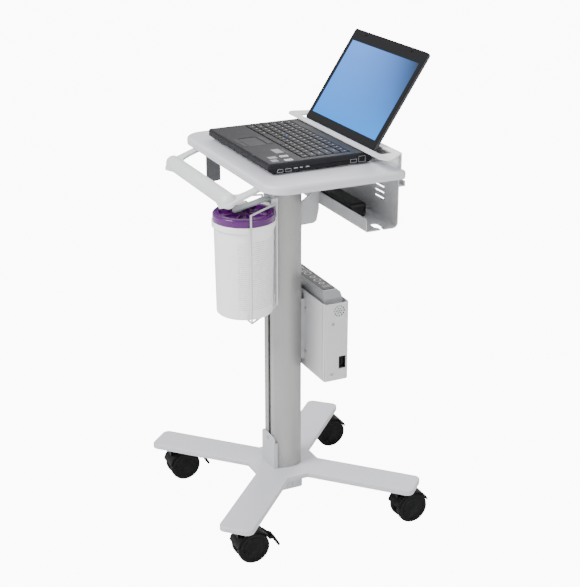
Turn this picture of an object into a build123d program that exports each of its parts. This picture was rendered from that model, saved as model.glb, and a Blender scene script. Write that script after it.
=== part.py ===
from build123d import *
import os
from math import atan2, cos, degrees, hypot, radians, sin

os.makedirs("parts", exist_ok=True)

# Mobile laptop cart: star base on four casters, extruded column, worksurface with handle, rear cord
# tray, laptop under a lock plate, wipes canister in a wire holder, power box with lift-out battery.
# X is the user's right, -Y is the user's side, Z is up, origin on the floor under the column axis.

# ---- driving sizes, mm ----
run_gap = 0.05            # radial play of a running pin
near_gap = 0.3            # gap between two bodies that nearly touch

wheel_r = 38.0
wheel_w = 16.0
wheel_in = 8.0            # inner face of a twin wheel from the caster's mid plane
axle_r = 4.0
caster_x = 212.0
caster_y = 206.0
caster_trail = 25.0
hood_in = wheel_r + 1.5
hood_out = hood_in + 3.5
stem_r = 4.5
pedal_pin_r = 2.5
pedal_pin_dist = hood_out + 7
pedal_pin_angle = 12.0
pedal_half = 11.0

plate_top = 2 * wheel_r + 30.5
plate_t = 12.0
arm_w = 81.0
arm_tip_x = caster_x + 31.5
arm_tip_y = caster_y + 26.9
hub_x = 85.0
hub_y = 81.0
hub_block_x = 80.0
hub_block_y = 70.0
hub_block_low = plate_top - 61.5

col_flat_y = 35.0
col_flat_half = 27.0
col_side_x = 40.0
slot_mouth = 13.0
slot_lip = 3.0
slot_w = 24.0
slot_depth = 12.0

top_z = 881.0             # top of the worksurface
top_t = 19.0
top_x = 251.0
top_front = -145.0
top_back = 176.0
top_corner_front = 50.0
top_corner_back = 12.0
mount_t = 5.0

grip_r = 17.5
grip_y = top_front - 54
grip_z = top_z - 43
grip_half = top_x - 86
handle_arm_x = top_x - 79
handle_arm_w = 24.0
handle_arm_t = 6.0
mount_x = handle_arm_x - handle_arm_w / 2 - 20

tray_x = top_x - 26
tray_back = top_back - 5
tray_front = tray_back - 79
tray_low = top_z - 135
tray_lip = tray_low + 30
tray_sheet = 2.5

holder_x = 34.0           # middle of the canister and its wires
holder_left = -30.0
holder_right = 50.0
holder_top = top_z - 104
holder_low = holder_top - 247
holder_t = 3.0
wire_r = 2.2
can_rim_r = 71.5
can_top_r = can_rim_r - 4.5
can_low_r = can_rim_r - 7.5
can_y = -(col_flat_y + holder_t + can_rim_r + 1)
can_low = holder_top - 245
can_rim_z = can_low + 218
wire_x = can_rim_r + wire_r + near_gap    # side wires from the holder's middle
wire_y = can_y - 15
lid_r = can_rim_r - 2
lid_top = can_rim_z + 17.5
cap_hinge_x = -47.5       # from the lid's middle
cap_end_x = -13.6
cap_half = 25.8
finger_pin_r = 2.5
finger_w = 26.0
ear_out = finger_w / 2 + 4.1    # outer faces of the ears that carry the finger
finger_t = 3.5
finger_y = -(col_flat_y + holder_t + 7)
finger_z = holder_top + 6
finger_tip_y = can_y - 26

box_x = 128.0
box_front = col_flat_y + 10
box_back = box_front + 62
box_low = plate_top + 252.5
box_top = box_low + 191
box_sheet = 1.5
module_x = box_x - 16
module_front = box_front + 7
module_back = box_back - 10
module_top = box_top + 22

lap_x = 167.5
lap_front = -109.6
lap_back = 137.7
lap_foot = 3.0
lap_split = top_z + 14    # joint between base and deck
lap_top = top_z + 26
hinge_y = lap_back - 6.7
hinge_z = lap_top - 5.4
hinge_r = 4.0
lid_tilt = 33.4           # lid leans back from upright at rest
lid_x = lap_x - 2.5
lid_len = 248.0
lid_t = 10.0
lid_face = 2.2            # lid face behind the hinge axis
lid_start = 8.5
screen_w = 303.7
screen_h = 189.8
screen_low = 30.0

lock_z = lap_top + 1.5
lock_t = 3.0
lock_right = top_x + 5
lock_left = top_x - 27
lock_front = hinge_y - 17
lock_slot_front = hinge_y
lock_slot_back = hinge_y + 31
lock_slot_right = lap_x + 45
lock_slot_left = lap_x + 12
lock_wall_x = top_x - 32

disc_y0 = lap_front + 51.6
disc_y1 = disc_y0 + 132
disc_z0 = top_z + 5
disc_z1 = disc_z0 + 7.5
disc_x0 = lap_x - 127.5
pad_x = -18.0
pad_y = lap_front + 45.6
pad_half_x = 34.0
pad_half_y = 20.5
front_keys_y = pad_y - 30  # middle of the click keys in front of the touchpad
rear_keys_y = pad_y + 28.5 # middle of the click keys behind it
click_w = 64.0
click_d = 12.0
kb_x = lap_x - 17.5
kb_front = pad_y + 40
kb_back = lap_back - 45.7
key_well = 4.5
key_gap = 2.0

screw_r = 3.2

# ---- small helpers ----
def block(x0, x1, y0, y1, z0, z1):
    return Pos((x0 + x1) / 2, (y0 + y1) / 2, (z0 + z1) / 2) * Box(x1 - x0, y1 - y0, z1 - z0)


def rod_x(r, x0, x1, y, z):
    return Pos((x0 + x1) / 2, y, z) * Rot(0, 90, 0) * Cylinder(r, x1 - x0)


def rod_y(r, x, y0, y1, z):
    return Pos(x, (y0 + y1) / 2, z) * Rot(90, 0, 0) * Cylinder(r, y1 - y0)


def rod_z(r, x, y, z0, z1):
    return Pos(x, y, (z0 + z1) / 2) * Cylinder(r, z1 - z0)


def slab_yz(points, x0, x1):
    face = make_face(Polyline(*points, close=True))
    return Pos(x0, 0, 0) * extrude(Plane.YZ * face, x1 - x0)


def edges_near(shape, axis, **at):
    found = shape.edges().filter_by(axis)
    for key, value in at.items():
        found = [e for e in found if abs(getattr(e.center(), key) - value) < 0.6]
    return found


def save(shape, node):
    export_step(shape, "parts/" + node + ".step")


# ---- casters ----
def wheel(side):
    disc = Cylinder(wheel_r, wheel_w)
    disc = fillet(disc.edges(), 4.5)
    disc -= Pos(0, 0, wheel_w / 2 - 0.5) * Cylinder(wheel_r - 10, 1.2)
    disc -= Pos(0, 0, -1.2) * Cylinder(axle_r + run_gap, wheel_w - 2.0)
    turned = Rot(0, 90 * side, 0) * disc
    return Pos(side * (wheel_in + wheel_w / 2), 0, 0) * turned


def wedge_yz(a0, a1, reach, half):
    points = [(0, 0)]
    steps = 6
    for i in range(steps + 1):
        a = radians(a0 + (a1 - a0) * i / steps)
        points.append((reach * cos(a), reach * sin(a)))
    return slab_yz(points, -half, half)


def yoke(braked):
    half = wheel_in + wheel_w
    web_half = wheel_in - 1.1
    web = rod_x(13, -web_half, web_half, 0, 0)
    web_y = hood_in - 5.5
    web_z = hood_in + 2.5
    web += slab_yz([(-13, 0), (-web_y, 18), (-web_y, web_z), (10, web_z), (13, 0)], -web_half, web_half)
    hood = rod_x(hood_out, -half, half, 0, 0) - rod_x(hood_in, -half, half, 0, 0)
    hood = hood & wedge_yz(20, 168, 2 * hood_out, half)
    body = web + hood
    body += rod_z(12, 0, -caster_trail, hood_in, plate_top - plate_t - wheel_r - 4.3)
    body += rod_x(axle_r, -half + 2.6, half - 2.6, 0, 0)
    if braked:
        py = pedal_pin_dist * cos(radians(pedal_pin_angle))
        pz = pedal_pin_dist * sin(radians(pedal_pin_angle))
        body += rod_x(4.5, -3.4, 3.4, py, pz)
        arm = [(8, hood_in), (py - 17, pz + 22), (py + 2.4, pz + 3.6), (py - 3, pz - 3.4), (11, 20)]
        body += slab_yz(arm, -3.4, 3.4)
        body += rod_x(pedal_pin_r, -pedal_half, pedal_half, py, pz)
    body -= rod_z(stem_r + run_gap, 0, -caster_trail, 26, plate_top - plate_t - wheel_r + 3)
    return body


def pedal():
    py = pedal_pin_dist * cos(radians(pedal_pin_angle))
    pz = pedal_pin_dist * sin(radians(pedal_pin_angle))
    outline = [(py + 1, pz + 5), (py + 6, pz + 2), (py + 20, pz - 22), (py + 19, pz - 27),
               (py + 15, pz - 26), (py, pz - 3)]
    tab = slab_yz(outline, -pedal_half, pedal_half)
    tab += rod_x(5, -pedal_half, pedal_half, py, pz)
    tab -= rod_x(7.5, -3.8, 3.8, py, pz)
    tab -= rod_x(pedal_pin_r + run_gap, -pedal_half - 1, pedal_half + 1, py, pz)
    return tab


def casters():
    stems = []
    corners = (("front_right", 1, -1), ("front_left", -1, -1), ("back_right", 1, 1), ("back_left", -1, 1))
    for name, sx, sy in corners:
        x = sx * caster_x
        y = sy * caster_y
        place = Pos(x, y + caster_trail, wheel_r)
        save(place * yoke(sy < 0), "caster_yoke_" + name)
        save(place * wheel(1), "wheel_" + name + "_outer" if sx > 0 else "wheel_" + name + "_inner")
        save(place * wheel(-1), "wheel_" + name + "_inner" if sx > 0 else "wheel_" + name + "_outer")
        if sy < 0:
            save(place * pedal(), "brake_pedal_" + name)
        stem = rod_z(stem_r, x, y, wheel_r + 27, plate_top - plate_t)
        stem += rod_z(11, x, y, plate_top - plate_t - 4, plate_top - plate_t)
        stems.append(stem)
    save(Compound(children=stems), "caster_stems")


# ---- base and column ----
def base_plate():
    reach = hypot(arm_tip_x, arm_tip_y)
    turn = degrees(atan2(arm_tip_y, arm_tip_x))
    plan = Rectangle(2 * hub_x, 2 * hub_y)
    for a in (turn, 180 - turn, 180 + turn, -turn):
        bar = Rectangle(reach, arm_w, align=(Align.MIN, Align.CENTER))
        tips = [v for v in bar.vertices() if v.X > 1]
        plan += Rot(0, 0, a) * fillet(tips, 16)
    plate = Pos(0, 0, plate_top - plate_t) * extrude(plan, plate_t)
    top = plate.faces().sort_by(Axis.Z)[-1]
    return fillet(top.edges(), 2.5)


def hub_block():
    low = hub_block_low
    high = plate_top - plate_t
    hub = block(-hub_block_x / 2, hub_block_x / 2, -hub_block_y / 2, hub_block_y / 2, low, high)
    hub = fillet(hub.edges().filter_by(Axis.Z), 6)
    hub = chamfer(hub.faces().sort_by(Axis.Z)[0].edges(), 2)
    for side in (-1, 1):
        x = side * hub_block_x / 2
        hub -= block(x - 1, x + 1, 5.5, 6.5, low - 1, high + 1)
    return hub


def column_outline():
    front = Line((-col_flat_half, -col_flat_y), (col_flat_half, -col_flat_y))
    right = ThreePointArc((col_flat_half, -col_flat_y), (col_side_x, 0), (col_flat_half, col_flat_y))
    back = Line((col_flat_half, col_flat_y), (-col_flat_half, col_flat_y))
    left = ThreePointArc((-col_flat_half, col_flat_y), (-col_side_x, 0), (-col_flat_half, -col_flat_y))
    return make_face([front, right, back, left])


def column():
    low = plate_top
    high = top_z - top_t - mount_t
    tube = Pos(0, 0, low) * extrude(column_outline(), high - low)
    core_y = col_flat_y - slot_lip - slot_depth - 3
    tube -= block(-col_side_x + 7, col_side_x - 7, -core_y, core_y, low, high)
    for side in (-1, 1):
        face = side * col_flat_y
        neck = face - side * slot_lip
        floor = neck - side * slot_depth
        tube -= block(-slot_mouth / 2, slot_mouth / 2, min(face, neck), max(face, neck), low, high)
        tube -= block(-slot_w / 2, slot_w / 2, min(neck, floor), max(neck, floor), low, high)
    return tube


def column_collar():
    high = top_z - top_t - mount_t
    ring = offset(column_outline(), 5) - offset(column_outline(), 0.2)
    return Pos(0, 0, high - 9) * extrude(ring, 9)


def foot_cover():
    half = 35.0
    top = plate_top + 81.5
    face = -col_flat_y - 4.5
    cover = block(-half, half, face, face + 3, plate_top, top)
    cover = fillet(edges_near(cover, Axis.Y, Z=top), 12)
    for side in (-1, 1):
        x = side * half
        cover += block(min(x, x - side * 2.5), max(x, x - side * 2.5), face, face + 9, plate_top, top - 14)
    cover += block(-8, 8, face + 3, -col_flat_y, top - 18, top - 6)
    return cover


# ---- worksurface and what hangs from it ----
def worksurface():
    plan = Pos(0, (top_front + top_back) / 2) * Rectangle(2 * top_x, top_back - top_front)
    front = [v for v in plan.vertices() if v.Y < top_front + 1]
    plan = fillet(front, top_corner_front)
    back = [v for v in plan.vertices() if v.Y > top_back - 1]
    plan = fillet(back, top_corner_back)
    board = Pos(0, 0, top_z - top_t) * extrude(plan, top_t)
    board = fillet(board.faces().sort_by(Axis.Z)[-1].edges(), 7)
    return fillet(board.faces().sort_by(Axis.Z)[0].edges(), 3)


def mounting_plate():
    high = top_z - top_t
    plate = block(-mount_x, mount_x, -80, 130, high - mount_t, high)
    plate = fillet(plate.edges().filter_by(Axis.Z), 20)
    return plate


def handle():
    under = top_z - top_t
    t = handle_arm_t
    over = [(-62, under), (top_front + 8, under), (grip_y, grip_z + 2), (grip_y - 22, grip_z - 9)]
    bend = over + [(y, z - t) for y, z in reversed(over)]
    out = handle_arm_x + handle_arm_w / 2
    inner = handle_arm_x - handle_arm_w / 2
    grip = rod_x(grip_r, -grip_half + 6, grip_half - 6, grip_y, grip_z)
    for side in (-1, 1):
        sheet = slab_yz(bend, min(side * 60, side * out), max(side * 60, side * out))
        edge = Polyline((out, -60), (out, grip_y - 4), (out - 22, grip_y - 20), (inner - 4, grip_y - 20),
                        (90, grip_y - 7), (70, grip_y), (90, grip_y + 7), (inner - 20, grip_y + 14),
                        (inner - 4, grip_y + 24), (inner, grip_y + 40), (inner, -60), close=True)
        plan = make_face(edge)
        corners = [v for v in plan.vertices() if v.Y < grip_y + 30 and v.X > 110]
        plan = fillet(corners, 7)
        if side < 0:
            plan = mirror(plan, Plane.YZ)
        grip += sheet & extrude(Pos(0, 0, grip_z - 100) * plan, 200, dir=(0, 0, 1))
        end = Pos(side * (grip_half - 6), grip_y, grip_z) * Sphere(grip_r)
        grip += end
    return grip


def cord_hook():
    under = top_z - top_t
    x = 51 - top_x
    y0 = top_front + 42
    y1 = y0 + 35
    blade = slab_yz([(y0, under), (y1, under), (y1, under - 91), (y0 + 15, under - 93), (y0, under - 79)],
                    x - 1.5, x + 1.5)
    blade += block(x - 22, x, y0, y1, under - 3, under)
    return blade


def rear_tray():
    under = top_z - top_t
    s = tray_sheet
    outer = block(-tray_x, tray_x, tray_front, tray_back, tray_low, under)
    outer = fillet(edges_near(outer, Axis.X, Y=tray_back, Z=tray_low), 12)
    outer = fillet(edges_near(outer, Axis.X, Y=tray_front, Z=tray_low), 4)
    hollow = block(-tray_x, tray_x, tray_front + s, tray_back - s, tray_low + s, under - s)
    hollow = fillet(edges_near(hollow, Axis.X, Y=tray_back - s, Z=tray_low + s), 9.5)
    tray = outer - hollow
    tray -= block(-tray_x, tray_x, tray_front - 1, tray_front + s + 1, tray_lip, under + 1)
    tray -= block(-tray_x, tray_x, tray_front - 1, tray_back - 33, under - s - 1, under + 1)
    tray = chamfer(edges_near(tray, Axis.Y, Y=tray_front + s / 2, Z=tray_lip), 6)
    tab_z = top_z - 43
    for side in (-1, 1):
        for row in range(3):
            tray -= Pos(side * (tray_x - 81), tray_back, top_z - 60 - 13 * row) * Box(41, 10, 3.5)
        for r, x0, x1 in ((9, tray_x - 34, tray_x - 20), (4, tray_x - 20, tray_x + 4)):
            hole = Pos(side * (x0 + x1) / 2, tray_front + 40, tray_low) * SlotCenterToCenter(x1 - x0, 2 * r)
            tray -= extrude(hole, 2 * s, both=True)
        x0 = min(side * tray_x, side * (tray_x - 24))
        tray += block(x0, x0 + 24, tray_back, tray_back + 15, tab_z, tab_z + 3)
        tray += block(x0, x0 + 24, tray_back + 12, tray_back + 15, tab_z + 3, tab_z + 12)
    return tray


def tray_gusset():
    under = top_z - top_t - mount_t
    y0 = col_flat_y
    y1 = tray_front - near_gap
    low = tray_low - 44
    high = tray_lip - 26
    web = slab_yz([(y0, low), (y1 - 14, low + 1), (y1 - 6, low + 6), (y1, tray_low - 10), (y1, under),
                   (y1 - 8, under), (y1 - 11, tray_lip + 14), (y1 - 18, tray_lip + 1), (y0, high)], -2, 2)
    web += block(-22, 22, y0, y0 + 3, low, high)
    return web


def power_adapter():
    low = tray_low + tray_sheet + near_gap
    body = block(-8, 138, tray_front + 6, tray_front + 50, low, low + 34)
    return fillet(body.edges(), 8)


def lock_plate():
    back = top_back + 3.4
    mid = lock_front + 22
    right = [(lock_right - 22, lock_front), (lock_right, lock_front + 10), (lock_right, mid),
             (lock_wall_x + 12, back - 14), (lock_wall_x, back)]
    left = [(10 - lock_wall_x, back), (-lock_left, mid), (-lock_left, lock_front + 10),
            (16 - lock_left, lock_front)]
    plan = make_face(Polyline(*right, *left, close=True))
    plan = fillet([v for v in plan.vertices() if v.Y < back - 1], 9)
    slot = Pos(-lock_slot_left, lock_slot_front) * Rectangle(
        lock_slot_right + lock_slot_left, lock_slot_back - lock_slot_front, align=Align.MIN)
    plan -= fillet(slot.vertices(), 9)
    plate = Pos(0, 0, lock_z) * extrude(plan, lock_t)
    wall = block(10 - lock_wall_x, lock_wall_x, back - 3, back, top_z - top_t + 2, lock_z + lock_t)
    wall = fillet(edges_near(wall, Axis.Y, Z=top_z - top_t + 2), 10)
    return plate + wall


# ---- canister and its holder ----
def holder_plate():
    face = -col_flat_y
    y0 = face - holder_t
    plate = block(holder_left, holder_right, y0, face, holder_low, holder_top)
    plate = fillet(plate.edges().filter_by(Axis.Y), 16)
    ear = finger_w / 2 + 0.6
    plate += block(holder_x - ear_out, holder_x + ear_out, y0, face, holder_top - 10, finger_z + 9)
    for side in (-1, 1):
        x0 = holder_x + side * ear
        x1 = holder_x + side * ear_out
        plate += block(min(x0, x1), max(x0, x1), y0 - 12, face, finger_z - 8, finger_z + 8)
    plate += rod_x(finger_pin_r, holder_x - ear - 1, holder_x + ear + 1, finger_y, finger_z)
    return plate


def wire_run(points):
    run = None
    for a, b in zip(points, points[1:]):
        start = Vector(*a)
        along = Vector(*b) - start
        bar = Solid.make_cylinder(wire_r, along.length, Plane(origin=start, z_dir=along))
        run = bar if run is None else run + bar
        run = run + Pos(*b) * Sphere(wire_r)
    return run


def wire_basket():
    plate_y = -col_flat_y - holder_t - wire_r
    low = can_low - wire_r - near_gap
    high = holder_top + 3
    basket = wire_run([(holder_left + 8, plate_y, low), (holder_right - 8, plate_y, low)])
    left = holder_left + 8
    right = holder_right - 8
    for side, x_in, x_top in ((-1, left, left), (1, right, holder_x + ear_out + wire_r)):
        x_out = holder_x + side * wire_x
        loop = [(x_top, plate_y, high - 9), (x_top, plate_y, high), (x_out, wire_y, high),
                (x_out, wire_y, low), (x_in, plate_y, low), (x_in, plate_y, holder_low + 30)]
        basket = basket + wire_run(loop)
        basket = basket + wire_run([(x_out, wire_y, low), (holder_x, wire_y, low)])
    return basket


def hold_down_finger():
    rest = lid_top + 0.8
    run = [(finger_y, finger_z + 6), (finger_y - 15, finger_z + 7), (finger_y - 32, finger_z + 3),
           (can_y + 8, rest + 13), (finger_tip_y, rest + finger_t)]
    upper = Spline(*run)
    lower = Spline(*[(y, z - finger_t) for y, z in reversed(run)])
    tip = Line(run[-1], (finger_tip_y, rest))
    root = Line((finger_y, finger_z + 6 - finger_t), run[0])
    face = make_face([upper, tip, lower, root])
    half = finger_w / 2
    strap = Pos(holder_x - half, 0, 0) * extrude(Plane.YZ * face, finger_w)
    tip_y = finger_tip_y + half
    high = finger_z + 20
    plan = block(holder_x - half, holder_x + half, tip_y, finger_y + 9, rest - 5, high)
    strap = strap & (plan + rod_z(half, holder_x, tip_y, rest - 5, high))
    strap += rod_x(6, holder_x - half, holder_x + half, finger_y, finger_z)
    pin_r = finger_pin_r + run_gap
    return strap - rod_x(pin_r, holder_x - finger_w, holder_x + finger_w, finger_y, finger_z)


def canister_tub():
    outer = [(0, can_low), (can_low_r - 3, can_low), (can_low_r, can_low + 3), (can_top_r, can_rim_z - 14),
             (can_rim_r, can_rim_z - 13), (can_rim_r, can_rim_z - 1), (can_rim_r - 1, can_rim_z)]
    inner = [(can_rim_r - 6, can_rim_z), (can_top_r - 3, can_rim_z - 10), (can_low_r - 2, can_low + 4),
             (0, can_low + 4)]
    face = make_face(Polyline(*outer, *inner, close=True))
    return Pos(holder_x, can_y, 0) * revolve(Plane.XZ * face, Axis.Z)


def canister_lid():
    lid = rod_z(lid_r, 0, 0, can_rim_z, lid_top)
    lid = fillet(lid.faces().sort_by(Axis.Z)[-1].edges(), 4)
    lid -= rod_z(56, 0, 0, lid_top - 6, lid_top + 1)
    lid -= rod_z(lid_r - 6, 0, 0, can_rim_z - 1, lid_top - 9)
    lid -= rod_z(9, -23, 0, lid_top - 12, lid_top + 1)
    for side in (-1, 1):
        x = cap_hinge_x
        lid += block(x - 2, x + 2, side * 22 - 4, side * 22 + 4, lid_top - 6, lid_top + 0.5)
        lid += rod_y(2, x, side * 22 - 4, side * 22 + 4, lid_top + 0.5)
    lid += rod_y(1.5, cap_hinge_x, -24, 24, lid_top + 0.5)
    return Pos(holder_x, can_y, 0) * lid


def wipes_roll():
    return rod_z(can_low_r - 6, holder_x, can_y, can_low + 4, can_rim_z - 4)


def flip_cap():
    x = cap_hinge_x
    pin_z = lid_top + 0.5
    cap = block(x + 2.9, cap_end_x, -cap_half, cap_half, lid_top - 5.4, lid_top + 9)
    cap = fillet(edges_near(cap, Axis.Z, X=cap_end_x), 12)
    cap = fillet(cap.faces().sort_by(Axis.Z)[-1].edges(), 2)
    cap += block(x, x + 4, -17.4, 17.4, pin_z - 2.1, pin_z + 2.1)
    cap += rod_y(2.1, x, -17.4, 17.4, pin_z)
    cap -= rod_y(1.5 + run_gap, x, -cap_half, cap_half, pin_z)
    return Pos(holder_x, can_y, 0) * cap


# ---- power box ----
def vent_holes(cut):
    cy = box_front + 37
    cz = box_top - 19
    spots = [(cy, cz)]
    for count, r in ((6, 6.0), (12, 12.0)):
        for i in range(count):
            a = radians(360 * i / count)
            spots.append((cy + r * cos(a), cz + r * sin(a)))
    for y, z in spots:
        cut -= rod_x(2.0, box_x - 5, box_x + 5, y, z)
    return cut


def power_box_case():
    s = box_sheet
    case = block(-box_x, box_x, box_front, box_back, box_low, box_top)
    case = fillet(case.edges().filter_by(Axis.Z), 6)
    case -= block(-box_x + s, box_x - s, box_front + s, box_back - s, box_low + s, box_top + 1)
    case -= block(box_x - 5, box_x + 5, box_back - 25, box_back - 7, box_low + 28, box_low + 59)
    for side in (-1, 1):
        x = side * (module_x + 6)
        case += block(x - 5, x + 5, box_front + s, box_front + s + 4, box_top - 40, box_top - 1.5)
    return vent_holes(case)


def power_box_bracket():
    y0 = col_flat_y
    y1 = box_front
    low = box_low + 21
    high = box_top - 20
    channel = block(-25, 25, y0, y1, low, high)
    channel -= block(-22, 22, y0 + 3, y1, low - 1, high + 1)
    for z in (low + 16, high - 16):
        channel += block(-25, 25, y1 - 3, y1, z - 12, z + 12)
    return channel


def power_inlet():
    x1 = box_x - box_sheet
    y = box_back - 16
    z = box_low + 43.5
    socket = block(x1 - 9, x1, y - 11, y + 11, z - 17.5, z + 17.5)
    socket -= block(x1 - 6, x1 + 1, y - 7, y + 7, z - 12.5, z + 12.5)
    for step in (-5.5, 0, 5.5):
        socket += block(x1 - 7, x1 - 2, y - 1.5, y + 1.5, z + step - 1, z + step + 1)
    return socket


def battery_module():
    low = box_low + box_sheet + near_gap
    module = block(-module_x, module_x, module_front, module_back, low, module_top)
    ends = [e for e in module.edges().filter_by(Axis.Y) if e.center().Z > module_top - 1]
    module = chamfer(ends, 14)
    sides = [e for e in module.edges().filter_by(Axis.X) if e.center().Z > module_top - 1]
    module = chamfer(sides, 5)
    return module


def battery_panel():
    panel = block(-88, 92, module_front + 7, module_back - 7, module_top, module_top + 1.2)
    return fillet(panel.edges().filter_by(Axis.Z), 5)


# ---- laptop ----
def laptop_base():
    low = top_z + lap_foot
    shell = block(-lap_x, lap_x, lap_front, lap_back, low, lap_split)
    shell = fillet(shell.edges().filter_by(Axis.Z), 7)
    shell = chamfer(shell.faces().sort_by(Axis.Z)[0].edges(), 5)
    undercut = [(lap_front - 1, low - 1), (lap_front + 12, low - 1), (lap_front - 1, low + 9)]
    shell -= slab_yz(undercut, -lap_x, lap_x)
    shell -= block(disc_x0 - 2, lap_x + 1, disc_y0 - near_gap, disc_y1 + near_gap,
                   disc_z0 - near_gap, disc_z1 + near_gap)
    for x in (-140, 140):
        for y in (lap_front + 25, lap_back - 26):
            shell += rod_z(8, x, y, top_z, low + 0.5)
    return shell


def laptop_deck():
    deck = block(-lap_x, lap_x, lap_front, lap_back, lap_split, lap_top)
    deck = fillet(deck.edges().filter_by(Axis.Z), 7)
    deck = fillet(edges_near(deck, Axis.X, Y=lap_front, Z=lap_top), 4)
    deck -= block(-kb_x, kb_x, kb_front, kb_back, lap_top - key_well, lap_top + 1)
    deck -= block(pad_x - pad_half_x - 0.5, pad_x + pad_half_x + 0.5, pad_y - pad_half_y - 0.5,
                  pad_y + pad_half_y + 0.5, lap_top - 1.6, lap_top + 1)
    for y in (front_keys_y, rear_keys_y):
        deck -= block(pad_x - click_w / 2 - 0.4, pad_x + click_w / 2 + 0.4, y - click_d / 2 - 0.4,
                      y + click_d / 2 + 0.4, lap_top - 5, lap_top + 1)
    deck -= block(-lap_x + 16.5, lap_x - 16.5, hinge_y - 11, lap_back + 1, lap_split, lap_top + 1)
    return deck


def keyboard():
    low = lap_top - key_well
    board = block(-kb_x + 0.5, kb_x - 0.5, kb_front + 0.5, kb_back - 0.5, low, low + 1.5)
    rows = 6
    pitch_y = (kb_back - kb_front - 3) / rows
    pitch_x = (2 * kb_x - 3) / 15.5
    for row in range(rows):
        y = kb_front + 1.5 + pitch_y * (row + 0.5)
        x = -kb_x + 1.5
        for w in key_widths(row):
            width = w * pitch_x
            cap = extrude(Rectangle(width - key_gap, pitch_y - key_gap), 3.6, taper=14)
            board += Pos(x + width / 2, y, low + 1.5) * cap
            x += width
    return board


def key_widths(row):
    if row == 0:
        return [1.25, 1.0, 1.0, 1.25, 5.0, 1.0, 1.0, 1.0, 1.0, 1.0, 1.0]
    if row == 5:
        return [15.5 / 16] * 16
    first = (1.0, 1.75, 1.5, 1.25, 1.0)[row]
    return [first] + [1.0] * 12 + [3.5 - first]


def touchpad():
    return block(pad_x - pad_half_x, pad_x + pad_half_x, pad_y - pad_half_y, pad_y + pad_half_y,
                 lap_top - 1.6, lap_top - 0.6)


def click_key(side, y):
    x0 = pad_x + side * 0.4
    x1 = pad_x + side * click_w / 2
    cap = block(min(x0, x1), max(x0, x1), y - click_d / 2, y + click_d / 2, lap_top - 3.2, lap_top + 0.4)
    return fillet(cap.faces().sort_by(Axis.Z)[-1].edges(), 0.8)


def laptop_hinges():
    parts = []
    for side in (-1, 1):
        x0 = side * (lid_x - 61)
        x1 = side * (lid_x - 45)
        x2 = side * (lid_x - 19)
        pin = rod_x(hinge_r, min(x0, x2), max(x0, x2), hinge_y, hinge_z)
        pin += block(min(x0, x1), max(x0, x1), hinge_y - 4, hinge_y + 4, lap_split, hinge_z)
        parts.append(pin)
    return Compound(children=parts)


def laptop_ports():
    x1 = lap_x
    low = top_z + 6.5
    spots = ((lap_front + 20, 12, 5.5), (lap_front + 39, 12, 5.5),
             (lap_back - 55, 14, 7), (lap_back - 35, 15, 12))
    return Compound(children=[block(x1, x1 + 0.4, y, y + w, low, low + h) for y, w, h in spots])


def disc_tray():
    tray = block(disc_x0, lap_x + 0.5, disc_y0, disc_y1, disc_z0, disc_z1)
    tray -= rod_z(61, (disc_x0 + lap_x) / 2 + 2, (disc_y0 + disc_y1) / 2, disc_z1 - 2, disc_z1 + 1)
    return tray


def lean(shape):
    return Pos(0, hinge_y, hinge_z) * Rot(-lid_tilt, 0, 0) * shape


def lid_shell():
    shell = block(-lid_x, lid_x, lid_face + 2, lid_face + lid_t, lid_start, lid_len)
    shell = fillet(shell.edges().filter_by(Axis.Y), 7)
    shell = fillet(edges_near(shell, Axis.X, Y=lid_face + lid_t, Z=lid_len), 4)
    for side in (-1, 1):
        x0 = side * (lid_x - 42)
        x1 = side * (lid_x - 22)
        lug = rod_x(hinge_r + 2, min(x0, x1), max(x0, x1), 0, 0)
        lug += block(min(x0, x1), max(x0, x1), -2, lid_face + lid_t - 4, 2, lid_start + 8) - block(
            min(x0, x1), max(x0, x1), -3, lid_face + 2, lid_start, lid_start + 9)
        shell += lug
        shell -= rod_x(hinge_r + run_gap, min(x0, x1) - 5, max(x0, x1) + 5, 0, 0)
    return lean(shell)


def lid_bezel():
    bezel = block(-lid_x, lid_x, lid_face, lid_face + 2, lid_start, lid_len)
    bezel = fillet(bezel.edges().filter_by(Axis.Y), 7)
    x = screen_w / 2
    bezel -= block(-x, x, lid_face - 1, lid_face + 3, screen_low, screen_low + screen_h)
    for side in (-1, 1):
        latch = side * 104
        bezel -= block(latch - 5, latch + 5, lid_face - 1, lid_face + 1.2, lid_len - 11, lid_len - 7)
    return lean(bezel)


def lid_screen():
    x = screen_w / 2 - 0.1
    return lean(block(-x, x, lid_face + 0.8, lid_face + 2, screen_low + 0.1, screen_low + screen_h - 0.1))


# ---- screws ----
def screw():
    head = Cylinder(screw_r, 2.2, align=(Align.CENTER, Align.CENTER, Align.MIN))
    head = fillet(head.edges().sort_by(Axis.Z)[-1], 0.8)
    head -= Pos(0, 0, 1.2) * extrude(RegularPolygon(1.4, 6), 2)
    return head


def pan_head_screws():
    front = Rot(90, 0, 0) * screw()
    down = Rot(180, 0, 0) * screw()
    under = top_z - top_t
    heads = [Pos(0, -col_flat_y - 4.5, plate_top + 69.5) * front]
    for x, z in ((31, box_top - 41), (17, box_top - 55), (16, box_low + 55), (31, box_low + 41)):
        for side in (-1, 1):
            heads.append(Pos(side * x, box_front, z) * front)
    for y, z in ((box_front + 21, box_top - 50), (box_front + 19, box_low + 17)):
        heads.append(Pos(box_x, y, z) * Rot(0, 90, 0) * screw())
    for x in (25 - tray_x, -70, 70, tray_x - 25):
        heads.append(Pos(x, tray_back - 21, under - tray_sheet) * down)
    for x in (-handle_arm_x, handle_arm_x):
        for y in (top_front + 25, top_front + 65):
            heads.append(Pos(x, y, under - handle_arm_t) * down)
    for x in (-150, 0, 150):
        heads.append(Pos(x, top_back + 3.4, top_z - 9) * Rot(-90, 0, 0) * screw())
    for z in (holder_low + 30, holder_top - 60):
        heads.append(Pos(0, -col_flat_y - holder_t, z) * front)
    return Compound(children=heads)


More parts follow.
